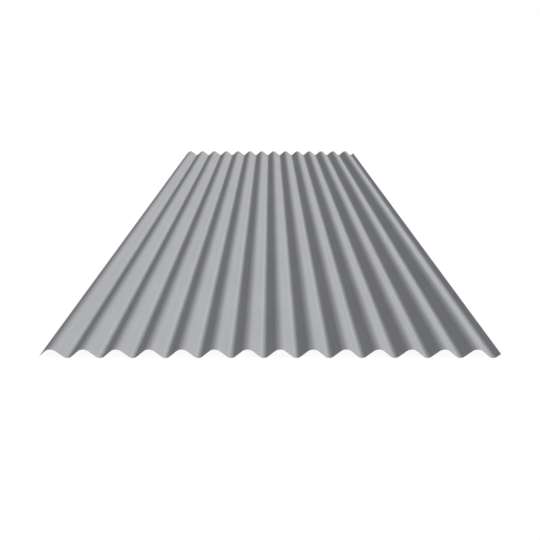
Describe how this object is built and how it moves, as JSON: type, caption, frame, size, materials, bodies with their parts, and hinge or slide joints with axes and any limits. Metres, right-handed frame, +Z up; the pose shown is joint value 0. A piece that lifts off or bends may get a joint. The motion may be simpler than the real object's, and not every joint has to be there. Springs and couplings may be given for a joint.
{
  "type": "corrugated metal sheet",
  "caption": "Steel sheet rolled into even round waves that run its full length, cut square at both ends, to lap side by side as roofing or wall cladding.",
  "frame": {"origin": "on the plane that the valleys rest on, under the middle of the sheet", "axes": "+X across the waves, from the edge that hangs down to the edge that turns up; +Y along the waves; +Z up through the crests"},
  "size_m": [1.0694, 2.44, 0.0232],
  "materials": {
    "coated_steel": "satin"
  },
  "bodies": {
    "root": {"corrugated_sheet": "coated_steel"}
  },
  "joints": []
}
